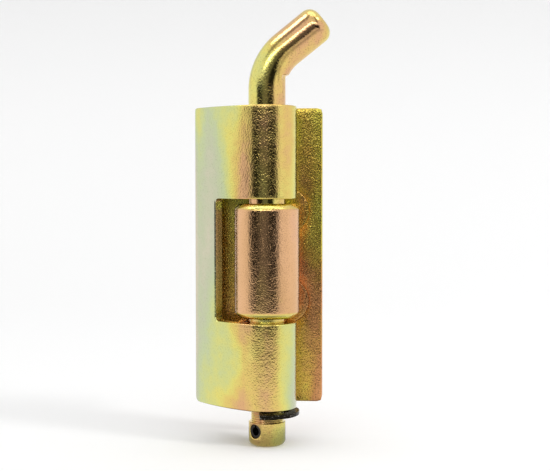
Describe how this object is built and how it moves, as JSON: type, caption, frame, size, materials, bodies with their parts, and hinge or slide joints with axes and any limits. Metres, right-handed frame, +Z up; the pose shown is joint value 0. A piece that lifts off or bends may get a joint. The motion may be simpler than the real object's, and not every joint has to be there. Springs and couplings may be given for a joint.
{
  "type": "removable pin hinge",
  "caption": "Upright door hinge with a rolled wing, a welded knuckle on a flat stud-mounted leaf, and a removable bent pin held by a clip.",
  "frame": {"origin": "middle of the two mounting studs, on the back face of the frame leaf", "axes": "+Z up along the hinge pin, +Y out of the leaf's back along the studs, +X towards the side the handle points to"},
  "size_m": [0.0302, 0.031, 0.0938],
  "materials": {
    "wing_zinc": "yellow-passivated zinc, satin to glossy, faintly iridescent",
    "leaf_zinc": "yellow-passivated zinc, satin, fine rolled grain",
    "knuckle_zinc": "yellow-passivated zinc on turned steel, glossy",
    "weld_zinc": "yellow-passivated zinc on weld metal, rippled",
    "stud_zinc": "yellow-passivated zinc, satin",
    "pin_zinc": "yellow-passivated zinc on drawn steel, glossy",
    "black_spring_steel": "black oxide, oiled",
    "dark_spring_steel": "phosphated spring steel, dull"
  },
  "bodies": {
    "frame": {"frame_leaf": "leaf_zinc", "knuckle": "knuckle_zinc", "knuckle_welds": "weld_zinc", "mounting_studs": "stud_zinc"},
    "wing": {"wing_leaf": "wing_zinc"},
    "clip": {"retaining_clip": "black_spring_steel"},
    "pin": {"hinge_pin": "pin_zinc", "spring_pin": "dark_spring_steel"}
  },
  "joints": [
    {"name": "wing_swing", "type": "hinge", "parent": "frame", "child": "wing", "pos_m": [-0.0037, -0.01, 0], "axis": [0, 0, 1], "range_deg": [0, 180]},
    {"name": "pin_lift", "type": "slide", "parent": "frame", "child": "clip", "axis": [0, 0, 1], "range_m": [-0.0045, 0.0004]},
    {"name": "pin_turn", "type": "hinge", "parent": "clip", "child": "pin", "pos_m": [-0.0037, -0.01, 0], "axis": [0, 0, 1], "continuous": true}
  ]
}
